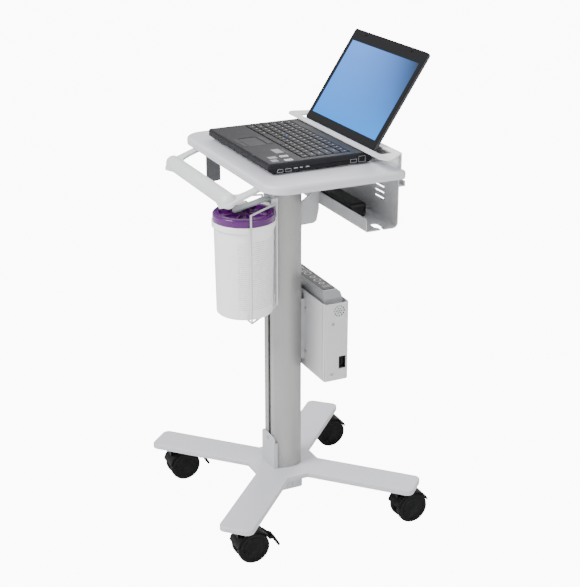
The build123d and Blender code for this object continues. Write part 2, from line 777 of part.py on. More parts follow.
casters()
save(base_plate(), "base_plate")
save(hub_block(), "hub_block")
save(column(), "column")
save(column_collar(), "column_collar")
save(foot_cover(), "foot_cover")
save(worksurface(), "worksurface")
save(mounting_plate(), "mounting_plate")
save(handle(), "handle")
save(cord_hook(), "cord_hook")
save(rear_tray(), "rear_tray")
save(tray_gusset(), "tray_gusset")
save(power_adapter(), "power_adapter")
save(lock_plate(), "lock_plate")
save(holder_plate(), "holder_plate")
save(wire_basket(), "wire_basket")
save(hold_down_finger(), "hold_down_finger")
save(canister_tub(), "canister_tub")
save(canister_lid(), "canister_lid")
save(flip_cap(), "canister_flip_cap")
save(wipes_roll(), "wipes_roll")
save(power_box_case(), "power_box_case")
save(power_box_bracket(), "power_box_bracket")
save(power_inlet(), "power_inlet")
save(battery_module(), "battery_module")
save(battery_panel(), "battery_panel")
save(laptop_base(), "laptop_base")
save(laptop_deck(), "laptop_deck")
save(keyboard(), "keyboard")
save(touchpad(), "touchpad")
for place, key_y in (("front", front_keys_y), ("rear", rear_keys_y)):
    save(click_key(-1, key_y), "click_key_" + place + "_left")
    save(click_key(1, key_y), "click_key_" + place + "_right")
save(laptop_hinges(), "laptop_hinges")
save(laptop_ports(), "laptop_ports")
save(disc_tray(), "disc_tray")
save(lid_shell(), "lid_shell")
save(lid_bezel(), "lid_bezel")
save(lid_screen(), "lid_screen")
save(pan_head_screws(), "pan_head_screws")
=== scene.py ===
import math

import bpy
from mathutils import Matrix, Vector


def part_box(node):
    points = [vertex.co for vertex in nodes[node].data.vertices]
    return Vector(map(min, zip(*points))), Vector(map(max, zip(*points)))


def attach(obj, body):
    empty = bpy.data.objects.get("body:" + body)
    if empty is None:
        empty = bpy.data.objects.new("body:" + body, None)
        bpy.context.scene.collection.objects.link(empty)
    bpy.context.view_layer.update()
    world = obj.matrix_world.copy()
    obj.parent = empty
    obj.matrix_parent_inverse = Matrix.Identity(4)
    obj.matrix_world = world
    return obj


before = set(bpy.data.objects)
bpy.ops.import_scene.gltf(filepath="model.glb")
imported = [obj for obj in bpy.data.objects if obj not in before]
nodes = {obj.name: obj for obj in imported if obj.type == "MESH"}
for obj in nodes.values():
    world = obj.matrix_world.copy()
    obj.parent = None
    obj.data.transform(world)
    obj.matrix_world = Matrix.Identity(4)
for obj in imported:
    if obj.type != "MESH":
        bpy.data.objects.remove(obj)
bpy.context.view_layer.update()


def dropSelection():
    if bpy.context.object and bpy.context.object.mode != "OBJECT":
        bpy.ops.object.mode_set(mode="OBJECT")
    bpy.ops.object.select_all(action="DESELECT")


def startPiece(name):
    piece = bpy.context.object
    piece.name = name
    piece.data.name = name
    return piece


def settle(piece):
    # puts the place, turn and size into the mesh
    dropSelection()
    piece.select_set(True)
    bpy.context.view_layer.objects.active = piece
    bpy.ops.object.transform_apply(location=True, rotation=True, scale=True)
    return piece


def addBox(name, low, high):
    dropSelection()
    mid = [(a + b) / 2 for a, b in zip(low, high)]
    size = [abs(b - a) for a, b in zip(low, high)]
    bpy.ops.mesh.primitive_cube_add(size=1, location=mid)
    piece = startPiece(name)
    piece.scale = size
    return settle(piece)


def addRod(name, radius, start, end, sides=32):
    dropSelection()
    a, b = Vector(start), Vector(end)
    along = b - a
    turn = along.to_track_quat("Z", "Y").to_euler()
    bpy.ops.mesh.primitive_cylinder_add(vertices=sides, radius=radius, depth=along.length,
                                        location=(a + b) / 2, rotation=turn)
    return settle(startPiece(name))


def bevelPiece(piece, width, segments=3, angle=30, harden=True):
    dropSelection()
    piece.select_set(True)
    bpy.context.view_layer.objects.active = piece
    mod = piece.modifiers.new("bevel", "BEVEL")
    mod.width = width
    mod.segments = segments
    mod.limit_method = "ANGLE"
    mod.angle_limit = math.radians(angle)
    mod.harden_normals = harden
    bpy.ops.object.modifier_apply(modifier=mod.name)
    return piece


def smoothPiece(piece, angle=35):
    dropSelection()
    piece.select_set(True)
    bpy.context.view_layer.objects.active = piece
    bpy.ops.object.shade_smooth_by_angle(angle=math.radians(angle))
    return piece


def joinPieces(name, parts):
    dropSelection()
    for part in parts:
        part.select_set(True)
    bpy.context.view_layer.objects.active = parts[0]
    bpy.ops.object.join()
    piece = startPiece(name)
    return piece


def pickFaces(piece, rule):
    # edit mode with only the faces that fit the rule selected
    dropSelection()
    piece.select_set(True)
    bpy.context.view_layer.objects.active = piece
    for face in piece.data.polygons:
        face.select = rule(face)
    for edge in piece.data.edges:
        edge.select = False
    for vert in piece.data.vertices:
        vert.select = False
    for face in piece.data.polygons:
        if face.select:
            for index in face.vertices:
                piece.data.vertices[index].select = True
    bpy.ops.object.mode_set(mode="EDIT")
    bpy.ops.mesh.select_mode(type="FACE")


def leaveEdit():
    bpy.ops.object.mode_set(mode="OBJECT")


def finishPiece(piece, body, finish):
    piece.data.materials.clear()
    piece.data.materials.append(paint[finish])
    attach(piece, body)
    return piece


def pickEdges(piece, rule):
    # edit mode with only the edges whose two ends fit the rule selected
    dropSelection()
    piece.select_set(True)
    bpy.context.view_layer.objects.active = piece
    mesh = piece.data
    for face in mesh.polygons:
        face.select = False
    for vert in mesh.vertices:
        vert.select = False
    for edge in mesh.edges:
        a, b = (mesh.vertices[i].co for i in edge.vertices)
        edge.select = rule(a, b)
    bpy.ops.object.mode_set(mode="EDIT")
    bpy.ops.mesh.select_mode(type="EDGE")


def newGroup(name, inputs, outputs):
    group = bpy.data.node_groups.new(name, "ShaderNodeTree")
    for label, kind, value in inputs:
        socket = group.interface.new_socket(name=label, in_out="INPUT", socket_type=kind)
        if value is not None:
            socket.default_value = value
    for label, kind in outputs:
        group.interface.new_socket(name=label, in_out="OUTPUT", socket_type=kind)
    start = group.nodes.new("NodeGroupInput")
    end = group.nodes.new("NodeGroupOutput")
    return group, start, end


def wire(tree, source, target):
    tree.links.new(source, target)


def mathNode(tree, kind, a, b=None, clamp=False):
    node = tree.nodes.new("ShaderNodeMath")
    node.operation = kind
    node.use_clamp = clamp
    for index, value in enumerate((a, b)):
        if value is None:
            continue
        if isinstance(value, (int, float)):
            node.inputs[index].default_value = value
        else:
            wire(tree, value, node.inputs[index])
    return node.outputs[0]


def makeGrainGroup():
    # fine moulded or powder-coated grain: a bump height and a small tone change
    inputs = [("Scale", "NodeSocketFloat", 900.0), ("Broad", "NodeSocketFloat", 6.0)]
    outputs = [("Height", "NodeSocketFloat"), ("Tone", "NodeSocketFloat")]
    group, start, end = newGroup("fineGrain", inputs, outputs)
    place = group.nodes.new("ShaderNodeTexCoord")
    fine = group.nodes.new("ShaderNodeTexNoise")
    fine.inputs["Detail"].default_value = 3
    fine.inputs["Roughness"].default_value = 0.6
    broad = group.nodes.new("ShaderNodeTexNoise")
    broad.inputs["Detail"].default_value = 4
    wire(group, place.outputs["Object"], fine.inputs["Vector"])
    wire(group, place.outputs["Object"], broad.inputs["Vector"])
    wire(group, start.outputs["Scale"], fine.inputs["Scale"])
    wire(group, start.outputs["Broad"], broad.inputs["Scale"])
    wire(group, fine.outputs["Fac"], end.inputs["Height"])
    wire(group, broad.outputs["Fac"], end.inputs["Tone"])
    return group


def makeEdgeGroup():
    # edges rubbed a little lighter or darker, broken up by noise
    inputs = [("Width", "NodeSocketFloat", 0.0012), ("Amount", "NodeSocketFloat", 0.5)]
    group, start, end = newGroup("edgeWear", inputs, [("Mask", "NodeSocketFloat")])
    place = group.nodes.new("ShaderNodeTexCoord")
    bevel = group.nodes.new("ShaderNodeBevel")
    bevel.samples = 6
    normal = group.nodes.new("ShaderNodeNewGeometry")
    dot = group.nodes.new("ShaderNodeVectorMath")
    dot.operation = "DOT_PRODUCT"
    wire(group, start.outputs["Width"], bevel.inputs["Radius"])
    wire(group, bevel.outputs["Normal"], dot.inputs[0])
    wire(group, normal.outputs["Normal"], dot.inputs[1])
    edge = mathNode(group, "SUBTRACT", 1.0, dot.outputs["Value"])
    edge = mathNode(group, "MULTIPLY", edge, 5.0, clamp=True)
    noise = group.nodes.new("ShaderNodeTexNoise")
    noise.inputs["Scale"].default_value = 45
    noise.inputs["Detail"].default_value = 5
    wire(group, place.outputs["Object"], noise.inputs["Vector"])
    broken = mathNode(group, "SUBTRACT", noise.outputs["Fac"], 0.38)
    broken = mathNode(group, "MULTIPLY", broken, 3.0, clamp=True)
    mask = mathNode(group, "MULTIPLY", edge, broken)
    mask = mathNode(group, "MULTIPLY", mask, start.outputs["Amount"])
    wire(group, mask, end.inputs["Mask"])
    return group


def makeScuffGroup():
    # thin rubbed streaks and dust that change the gloss
    inputs = [("Scale", "NodeSocketFloat", 18.0), ("Amount", "NodeSocketFloat", 0.2)]
    group, start, end = newGroup("scuffs", inputs, [("Gloss", "NodeSocketFloat")])
    place = group.nodes.new("ShaderNodeTexCoord")
    stretch = group.nodes.new("ShaderNodeMapping")
    stretch.inputs["Scale"].default_value = (1.0, 1.0, 5.0)
    stretch.inputs["Rotation"].default_value = (0.5, 0.7, 0.2)
    noise = group.nodes.new("ShaderNodeTexNoise")
    noise.inputs["Detail"].default_value = 6
    noise.inputs["Roughness"].default_value = 0.7
    wire(group, place.outputs["Object"], stretch.inputs["Vector"])
    wire(group, stretch.outputs["Vector"], noise.inputs["Vector"])
    wire(group, start.outputs["Scale"], noise.inputs["Scale"])
    shift = mathNode(group, "SUBTRACT", noise.outputs["Fac"], 0.5)
    wire(group, mathNode(group, "MULTIPLY", shift, start.outputs["Amount"]), end.inputs["Gloss"])
    return group


grainGroup = makeGrainGroup()
edgeGroup = makeEdgeGroup()
scuffGroup = makeScuffGroup()
print("shader groups ready")


def placeGroup(tree, group, **values):
    node = tree.nodes.new("ShaderNodeGroup")
    node.node_tree = group
    for label, value in values.items():
        node.inputs[label].default_value = value
    return node


def mixColour(tree, factor, first, second):
    node = tree.nodes.new("ShaderNodeMix")
    node.data_type = "RGBA"
    if isinstance(factor, (int, float)):
        node.inputs["Factor"].default_value = factor
    else:
        wire(tree, factor, node.inputs["Factor"])
    for socket, value in ((node.inputs[6], first), (node.inputs[7], second)):
        if isinstance(value, tuple):
            socket.default_value = (*value[:3], 1.0)
        else:
            wire(tree, value, socket)
    return node.outputs[2]


def surface(name, look):
    # one finish: grain, slow tone change, rubbed edges, uneven gloss
    material = bpy.data.materials.new(name)
    material.use_nodes = True
    tree = material.node_tree
    shader = tree.nodes["Principled BSDF"]
    base = look["colour"]
    drift = look.get("drift", 0.04)
    light = tuple(min(1.0, c * (1 + drift)) for c in base)
    dark = tuple(c * (1 - drift) for c in base)
    grain = placeGroup(tree, grainGroup, Scale=look.get("grain", 900.0), Broad=look.get("broad", 6.0))
    colour = mixColour(tree, grain.outputs["Tone"], dark, light)
    wear = placeGroup(tree, edgeGroup, Width=look.get("edgeWidth", 0.0012), Amount=look.get("wear", 0.4))
    colour = mixColour(tree, wear.outputs["Mask"], colour, look.get("worn", light))
    wire(tree, colour, shader.inputs["Base Color"])
    scuff = placeGroup(tree, scuffGroup, Scale=look.get("scuffScale", 18.0), Amount=look.get("scuff", 0.15))
    rough = mathNode(tree, "ADD", scuff.outputs["Gloss"], look.get("rough", 0.45), clamp=True)
    wire(tree, rough, shader.inputs["Roughness"])
    bump = tree.nodes.new("ShaderNodeBump")
    bump.inputs["Strength"].default_value = look.get("bump", 0.15)
    bump.inputs["Distance"].default_value = look.get("bumpDepth", 0.0004)
    wire(tree, grain.outputs["Height"], bump.inputs["Height"])
    wire(tree, bump.outputs["Normal"], shader.inputs["Normal"])
    shader.inputs["Metallic"].default_value = look.get("metal", 0.0)
    shader.inputs["Specular IOR Level"].default_value = look.get("specular", 0.5)
    shader.inputs["Coat Weight"].default_value = look.get("coat", 0.0)
    shader.inputs["Coat Roughness"].default_value = look.get("coatRough", 0.1)
    return material


finishes = {
    "powderGrey": dict(colour=(0.53, 0.535, 0.565), rough=0.42, grain=700.0, bump=0.22, wear=0.35,
                       worn=(0.7, 0.7, 0.72)),
    "collarGrey": dict(colour=(0.46, 0.465, 0.46), rough=0.4, grain=500.0, bump=0.06),
    "laminate": dict(colour=(0.60, 0.605, 0.65), rough=0.38, grain=1400.0, bump=0.12, drift=0.025, wear=0.2),
    "handleGrey": dict(colour=(0.66, 0.675, 0.69), rough=0.36, grain=1000.0, bump=0.08, drift=0.03),
    # painted shade: this near-black grey darkens the cord hook for the shade it sits in under the
    # worksurface; the same grey also colours the power box's dark seam line
    "hookShadeAndSeamGrey": dict(colour=(0.13, 0.135, 0.14), rough=0.5, grain=900.0, bump=0.15),
    "sheetSteel": dict(colour=(0.50, 0.51, 0.52), rough=0.4, grain=800.0, bump=0.14, wear=0.5,
                       worn=(0.75, 0.75, 0.76)),
    "lockWhite": dict(colour=(0.70, 0.705, 0.72), rough=0.38, grain=800.0, bump=0.12),
    "wireWhite": dict(colour=(0.60, 0.60, 0.61), rough=0.25, grain=400.0, bump=0.03, coat=0.4),
    "fingerGrey": dict(colour=(0.28, 0.31, 0.31), rough=0.42, grain=800.0, bump=0.12),
    "zinc": dict(colour=(0.42, 0.42, 0.42), rough=0.32, metal=0.9, grain=1500.0, bump=0.1),
    "tubWhite": dict(colour=(0.95, 0.95, 0.96), rough=0.32, grain=300.0, bump=0.03, drift=0.02, wear=0.0),
    "wipeCloth": dict(colour=(0.85, 0.86, 0.87), rough=0.85, grain=2500.0, bump=0.6),
    "boxGrey": dict(colour=(0.58, 0.58, 0.60), rough=0.4, grain=900.0, bump=0.14, wear=0.4),
    "moduleGrey": dict(colour=(0.36, 0.37, 0.38), rough=0.38, metal=0.35, grain=1200.0, bump=0.1),
    "laptopBlack": dict(colour=(0.0045, 0.0045, 0.006), rough=0.42, grain=2600.0, bump=0.25, wear=0.2,
                        worn=(0.02, 0.02, 0.025), specular=0.2),
    "deckBlack": dict(colour=(0.012, 0.012, 0.015), rough=0.46, grain=3000.0, bump=0.3, wear=0.2,
                      worn=(0.03, 0.03, 0.035), specular=0.18),
    "keyBlack": dict(colour=(0.004, 0.004, 0.005), rough=0.48, grain=3000.0, bump=0.2, wear=0.35,
                     worn=(0.03, 0.03, 0.035), specular=0.25),
    "padBlack": dict(colour=(0.014, 0.014, 0.018), rough=0.38, grain=2500.0, bump=0.1, specular=0.3),
    "lidGrey": dict(colour=(0.030, 0.032, 0.038), rough=0.42, grain=2500.0, bump=0.2, wear=0.35,
                    worn=(0.09, 0.09, 0.1)),
    "portMetal": dict(colour=(0.42, 0.43, 0.45), rough=0.35, metal=0.9, grain=1500.0, bump=0.1),
    "casterBlack": dict(colour=(0.0035, 0.0035, 0.004), rough=0.45, grain=1200.0, bump=0.15, wear=0.3,
                        worn=(0.02, 0.02, 0.02), specular=0.12),
    "treadBlack": dict(colour=(0.006, 0.006, 0.0065), rough=0.6, grain=900.0, bump=0.35, scuff=0.3,
                       specular=0.12),
    "adapterBlack": dict(colour=(0.004, 0.004, 0.0045), rough=0.4, grain=1500.0, bump=0.15, specular=0.3),
    "panelDark": dict(colour=(0.030, 0.031, 0.034), rough=0.5, grain=1800.0, bump=0.12),
    "printGrey": dict(colour=(0.22, 0.225, 0.24), rough=0.5, grain=800.0, bump=0.02, wear=0.0),
    "printPale": dict(colour=(0.62, 0.62, 0.64), rough=0.45, grain=800.0, bump=0.02, wear=0.0),
    "keyPrint": dict(colour=(0.38, 0.38, 0.40), rough=0.5, grain=800.0, bump=0.02, wear=0.0),
    "labelPink": dict(colour=(0.80, 0.63, 0.61), rough=0.4, grain=600.0, bump=0.02, wear=0.0),
    "stickBlue": dict(colour=(0.01, 0.02, 0.22), rough=0.7, grain=3000.0, bump=0.6, wear=0.0),
}
paint = {name: surface(name, look) for name, look in finishes.items()}
print("plain finishes ready:", len(paint))

columnLook = {"colour": (0.37, 0.37, 0.365), "rough": 0.34, "metal": 0.5, "lines": 900}


def anodised():
    # long fine die lines up the extrusion
    material = surface("anodised", dict(colour=columnLook["colour"], rough=columnLook["rough"],
                                        metal=columnLook["metal"], grain=900.0, bump=0.05, drift=0.03))
    tree = material.node_tree
    shader = tree.nodes["Principled BSDF"]
    place = tree.nodes.new("ShaderNodeTexCoord")
    stretch = tree.nodes.new("ShaderNodeMapping")
    stretch.inputs["Scale"].default_value = (1.0, 1.0, 0.004)
    lines = tree.nodes.new("ShaderNodeTexNoise")
    lines.inputs["Scale"].default_value = columnLook["lines"]
    lines.inputs["Detail"].default_value = 4
    wire(tree, place.outputs["Object"], stretch.inputs["Vector"])
    wire(tree, stretch.outputs["Vector"], lines.inputs["Vector"])
    bump = tree.nodes.new("ShaderNodeBump")
    bump.inputs["Strength"].default_value = 0.12
    bump.inputs["Distance"].default_value = 0.0003
    wire(tree, lines.outputs["Fac"], bump.inputs["Height"])
    wire(tree, bump.outputs["Normal"], shader.inputs["Normal"])
    return material


lidLook = {"colour": (0.085, 0.001, 0.125), "worn": (0.16, 0.02, 0.24), "rough": 0.24, "coat": 0.25}


def lidPlastic():
    look = dict(colour=lidLook["colour"], rough=lidLook["rough"], grain=300.0, bump=0.03, drift=0.1, wear=0.5,
                worn=lidLook["worn"], coat=lidLook["coat"])
    material = surface("lidPurple", look)
    shader = material.node_tree.nodes["Principled BSDF"]
    shader.inputs["Subsurface Weight"].default_value = 0.1
    shader.inputs["Subsurface Radius"].default_value = (0.004, 0.001, 0.006)
    return material


screenLook = {
    "low": (0.015, 0.30, 1.00),       # bottom of the picture
    "high": (0.12, 0.34, 1.00),      # top left
    "side": (0.01, 0.03, 0.07),      # right middle
    "glow": 1.5,
}


def screenPicture():
    # lit panel: soft blue picture, lighter at the bottom, greyer to the right
    low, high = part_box("lid_screen")
    material = bpy.data.materials.new("screenPicture")
    material.use_nodes = True
    tree = material.node_tree
    shader = tree.nodes["Principled BSDF"]
    place = tree.nodes.new("ShaderNodeTexCoord")
    split = tree.nodes.new("ShaderNodeSeparateXYZ")
    wire(tree, place.outputs["Object"], split.inputs["Vector"])
    rise = mathNode(tree, "SUBTRACT", split.outputs["Z"], low.z)
    rise = mathNode(tree, "DIVIDE", rise, high.z - low.z, clamp=True)
    across = mathNode(tree, "SUBTRACT", split.outputs["X"], low.x)
    across = mathNode(tree, "DIVIDE", across, high.x - low.x, clamp=True)
    cloud = tree.nodes.new("ShaderNodeTexNoise")
    cloud.inputs["Scale"].default_value = 7
    cloud.inputs["Detail"].default_value = 1
    wire(tree, place.outputs["Object"], cloud.inputs["Vector"])
    drift = mathNode(tree, "SUBTRACT", cloud.outputs["Fac"], 0.5)
    rise = mathNode(tree, "ADD", rise, mathNode(tree, "MULTIPLY", drift, 0.35), clamp=True)
    colour = mixColour(tree, rise, screenLook["low"], screenLook["high"])
    right = mathNode(tree, "MULTIPLY", mathNode(tree, "POWER", across, 2.0), rise, clamp=True)
    colour = mixColour(tree, right, colour, screenLook["side"])
    wire(tree, colour, shader.inputs["Emission Color"])
    shader.inputs["Base Color"].default_value = (0.01, 0.012, 0.02, 1)
    shader.inputs["Emission Strength"].default_value = screenLook["glow"]
    shader.inputs["Roughness"].default_value = 0.5
    shader.inputs["Specular IOR Level"].default_value = 0.15
    return material


tubLook = {
    "ink": (0.40, 0.40, 0.43),
    "rowStep": 0.0046,
    "columns": ((-0.62, -0.33), (-0.19, 0.80)),    # angles round the tub, radians
    "band": (0.556, 0.716),          # heights of the printed block
    "strip": (-2.3, -1.75),          # faint coloured strip on the far left
    "stripBand": (0.545, 0.66),
    "stripInk": (0.52, 0.44, 0.68),
    "lineShare": 0.42,               # part of a row that is inked
    "wordLength": 55.0,
    "wordGap": 0.44,
    "strength": (0.55, 0.6),         # print, strip
}


def between(tree, value, low, high):
    above = mathNode(tree, "GREATER_THAN", value, low)
    below = mathNode(tree, "LESS_THAN", value, high)
    return mathNode(tree, "MULTIPLY", above, below)


def tubPrint():
    # white tub with rows of unreadable small print
    material = surface("tubPrint", finishes["tubWhite"])
    tree = material.node_tree
    shader = tree.nodes["Principled BSDF"]
    low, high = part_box("canister_tub")
    place = tree.nodes.new("ShaderNodeTexCoord")
    split = tree.nodes.new("ShaderNodeSeparateXYZ")
    wire(tree, place.outputs["Object"], split.inputs["Vector"])
    x = mathNode(tree, "SUBTRACT", split.outputs["X"], (low.x + high.x) / 2)
    y = mathNode(tree, "SUBTRACT", split.outputs["Y"], (low.y + high.y) / 2)
    angle = mathNode(tree, "ARCTAN2", y, x)
    rows = mathNode(tree, "DIVIDE", split.outputs["Z"], tubLook["rowStep"])
    line = mathNode(tree, "LESS_THAN", mathNode(tree, "FRACT", rows), tubLook["lineShare"])
    words = tree.nodes.new("ShaderNodeTexNoise")
    words.inputs["Scale"].default_value = 1.0
    words.inputs["Detail"].default_value = 2
    join = tree.nodes.new("ShaderNodeCombineXYZ")
    wire(tree, mathNode(tree, "MULTIPLY", angle, tubLook["wordLength"]), join.inputs["X"])
    wire(tree, mathNode(tree, "MULTIPLY", mathNode(tree, "FLOOR", rows), 7.3), join.inputs["Y"])
    wire(tree, join.outputs["Vector"], words.inputs["Vector"])
    inked = mathNode(tree, "GREATER_THAN", words.outputs["Fac"], tubLook["wordGap"])
    line = mathNode(tree, "MULTIPLY", line, inked)
    first, second = tubLook["columns"]
    area = mathNode(tree, "ADD", between(tree, angle, *first), between(tree, angle, *second))
    area = mathNode(tree, "MULTIPLY", area, between(tree, split.outputs["Z"], *tubLook["band"]))
    mask = mathNode(tree, "MULTIPLY", line, area)
    body = shader.inputs["Base Color"].links[0].from_socket
    printShare, stripShare = tubLook["strength"]
    colour = mixColour(tree, mathNode(tree, "MULTIPLY", mask, printShare), body, tubLook["ink"])
    strip = between(tree, angle, *tubLook["strip"])
    strip = mathNode(tree, "MULTIPLY", strip, between(tree, split.outputs["Z"], *tubLook["stripBand"]))
    colour = mixColour(tree, mathNode(tree, "MULTIPLY", strip, stripShare), colour, tubLook["stripInk"])
    wire(tree, colour, shader.inputs["Base Color"])
    return material


paint["anodised"] = anodised()
paint["lidPurple"] = lidPlastic()
paint["screenPicture"] = screenPicture()
paint["tubPrint"] = tubPrint()
print("special finishes ready")

nodePaint = {
    "base_plate": "powderGrey", "hub_block": "powderGrey", "column": "anodised",
    "column_collar": "collarGrey", "foot_cover": "sheetSteel", "worksurface": "laminate",
    # cord_hook takes the dark grey that paints the shade under the worksurface
    "mounting_plate": "sheetSteel", "handle": "handleGrey", "cord_hook": "hookShadeAndSeamGrey",
    "rear_tray": "sheetSteel", "tray_gusset": "sheetSteel", "lock_plate": "lockWhite",
    "holder_plate": "lockWhite", "wire_basket": "wireWhite", "power_box_case": "boxGrey",
    "power_box_bracket": "sheetSteel", "power_inlet": "adapterBlack", "laptop_base": "laptopBlack",
    "laptop_deck": "deckBlack", "keyboard": "keyBlack", "touchpad": "padBlack",
    "laptop_hinges": "lidGrey", "laptop_ports": "laptopBlack", "caster_stems": "zinc",
    "pan_head_screws": "zinc", "power_adapter": "adapterBlack", "hold_down_finger": "fingerGrey",
    "canister_tub": "tubPrint", "canister_lid": "lidPurple", "wipes_roll": "wipeCloth",
    "canister_flip_cap": "lidPurple", "battery_module": "moduleGrey", "battery_panel": "panelDark",
    "disc_tray": "laptopBlack", "lid_shell": "lidGrey", "lid_bezel": "laptopBlack",
    "lid_screen": "screenPicture",
}
for name, obj in nodes.items():
    if name.startswith("wheel_"):
        finish = "treadBlack"
    elif name.startswith(("caster_yoke", "brake_pedal")):
        finish = "casterBlack"
    elif name.startswith("click_key"):
        finish = "padBlack"
    else:
        finish = nodePaint[name]
    obj.data.materials.clear()
    obj.data.materials.append(paint[finish])
print("frame nodes painted")

deckLook = {
    "thick": 0.0003,
    "whiteLabels": ((0.117, -0.063, 0.129, -0.045), (0.145, -0.065, 0.157, -0.047)),
    "greyLabels": ((0.114, -0.090, 0.130, -0.071), (0.137, -0.094, 0.154, -0.079)),
    "labelBars": (0.25, 0.5, 0.78),
    "plate": (0.062, -0.058, 0.094, -0.040),          # faint plate beside the touchpad
    "latches": ((-0.085, -0.106, -0.075, -0.103), (0.082, -0.110, 0.092, -0.107)),
    "lights": (0.070, -0.034, 0.006, 5),              # first light, row height, step, how many
    "light": (0.003, 0.0008),
    "stick": (-0.018, 0.021, 0.0032),
}


def addPatch(name, x0, y0, x1, y1, z, thick, round=0.0012):
    patch = addBox(name, (x0, y0, z - 0.0001), (x1, y1, z + thick))
    if round:
        pickEdges(patch, lambda a, b: abs(a.z - b.z) > thick * 0.5)
        bpy.ops.mesh.bevel(offset=round, segments=3)
        leaveEdit()
    return patch


def makeDeckDetails():
    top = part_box("laptop_deck")[1].z
    t = deckLook["thick"]
    white = [addPatch("label", *spot, top, t) for spot in deckLook["whiteLabels"]]
    finishPiece(joinPieces("deckLabelsWhite", white), "frame", "printPale")
    bars = []
    for x0, y0, x1, y1 in deckLook["whiteLabels"]:
        for rise in deckLook["labelBars"]:
            y = y0 + (y1 - y0) * rise
            bars.append(addPatch("bar", x0 + 0.002, y - 0.0008, x1 - 0.002, y + 0.0008, top + t, t * 0.3, 0))
    finishPiece(joinPieces("deckLabelBars", bars), "frame", "keyBlack")
    grey = [addPatch("label", *spot, top, t) for spot in deckLook["greyLabels"]]
    grey.append(addPatch("label", *deckLook["plate"], top, t * 0.6))
    finishPiece(joinPieces("deckLabelsGrey", grey), "frame", "printGrey")
    dark = [addPatch("latch", *spot, top, t, 0.0008) for spot in deckLook["latches"]]
    finishPiece(joinPieces("deckLatchPads", dark), "frame", "keyBlack")
    x, y, step, count = deckLook["lights"]
    wide, deep = deckLook["light"]
    starts = [x + i * step for i in range(count)]
    row = [addPatch("light", start, y, start + wide, y + deep, top, t * 0.5, 0) for start in starts]
    finishPiece(joinPieces("deckLights", row), "frame", "keyPrint")
    x, y, r = deckLook["stick"]
    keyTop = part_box("keyboard")[1].z
    stick = addRod("pointStick", r, (x, y, keyTop - 0.002), (x, y, keyTop + 0.0006), 24)
    pickFaces(stick, lambda face: face.normal.z > 0.9)
    bpy.ops.mesh.inset(thickness=r * 0.35, depth=-0.0004)
    leaveEdit()
    finishPiece(smoothPiece(stick), "frame", "stickBlue")
    print("deck details made")


keyLook = {
    "rows": ((1.25, 1.0, 1.0, 1.25, 5.0, 1.0, 1.0, 1.0, 1.0, 1.0, 1.0), (1.75,) + (1.0,) * 12 + (1.75,),
             (1.5,) + (1.0,) * 12 + (2.0,), (1.25,) + (1.0,) * 12 + (2.25,), (1.0,) * 13 + (2.5,),
             (0.96875,) * 16),
    "mark": (0.0040, 0.0022, 0.0002),                 # width, depth and height of a key's print
    "wide": (0.0075, 0.0013),
    "skip": (0, 4),                                   # the long bar has no print
}


def makeKeyPrint():
    low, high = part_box("keyboard")
    edge = 0.001
    stepX = (high.x - low.x - 2 * edge) / 15.5
    stepY = (high.y - low.y - 2 * edge) / len(keyLook["rows"])
    marks = []
    for row, widths in enumerate(keyLook["rows"]):
        x = low.x + edge
        y = low.y + edge + stepY * (row + 0.5)
        for index, width in enumerate(widths):
            long = width > 1.2
            w, d = keyLook["wide"] if long else keyLook["mark"][:2]
            mid = x + width * stepX * 0.5 - (0 if long else 0.0018)
            if (row, index) != keyLook["skip"]:
                marks.append(addBox("mark", (mid - w / 2, y + 0.0016, high.z - 0.0001),
                                    (mid + w / 2, y + 0.0016 + d, high.z + keyLook["mark"][2])))
            x += width * stepX
    finishPiece(joinPieces("keyPrint", marks), "frame", "keyPrint")
    print("key print made:", len(marks))


sideLook = {
    "rim": 0.0007, "proud": 0.0002,
    "ports": ((-0.0896, -0.0776, 0.0055), (-0.0706, -0.0586, 0.0055), (0.0827, 0.0967, 0.007),
              (0.1027, 0.1177, 0.012)),
    "marks": ((-0.052, -0.043), (-0.038, -0.031), (-0.024, -0.016)),
    "markLow": 0.0042, "markTop": 0.0062,
}


def makeSideMarks():
    low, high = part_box("laptop_ports")
    rims = []
    for y0, y1, tall in sideLook["ports"]:
        frameBox = addBox("rim", (high.x - 0.0002, y0 - 0.0008, low.z - 0.0006),
                          (high.x + sideLook["proud"], y1 + 0.0008, low.z + tall + 0.0006))
        pickFaces(frameBox, lambda face: face.normal.x > 0.9)
        bpy.ops.mesh.inset(thickness=sideLook["rim"])
        bpy.ops.mesh.delete(type="FACE")
        leaveEdit()
        rims.append(frameBox)
    for y0, y1 in sideLook["marks"]:
        rims.append(addBox("mark", (high.x - sideLook["proud"], y0, low.z + sideLook["markLow"]),
                           (high.x + sideLook["proud"], y1, low.z + sideLook["markTop"])))
    finishPiece(joinPieces("portRims", rims), "frame", "portMetal")
    print("port rims made")


lidRibLook = {"angles": (-82, -41, 0, 41, 82, 128, -128), "inner": 0.015, "outer": 0.0555, "thick": 0.0022,
              "rise": 0.0175, "drop": 0.0008}


def makeLidRibs():
    low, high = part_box("canister_lid")
    x, y = (low.x + high.x) / 2, (low.y + high.y) / 2
    top = low.z + lidRibLook["rise"] - lidRibLook["drop"]
    ribs = []
    for angle in lidRibLook["angles"]:
        inner = 0.034 if abs(angle) > 100 else lidRibLook["inner"]
        rib = addBox("rib", (inner, -lidRibLook["thick"] / 2, top - 0.0055),
                     (lidRibLook["outer"], lidRibLook["thick"] / 2, top))
        bevelPiece(rib, 0.0006, 2)
        rib.rotation_euler = (0, 0, math.radians(angle))
        rib.location = (x, y, 0)
        ribs.append(settle(rib))
    finishPiece(joinPieces("lidRibs", ribs), "canister", "lidPurple")
    print("lid ribs made")


capLook = {"margin": 0.006, "hingeGap": 0.004, "thick": 0.0003, "corner": 0.003}


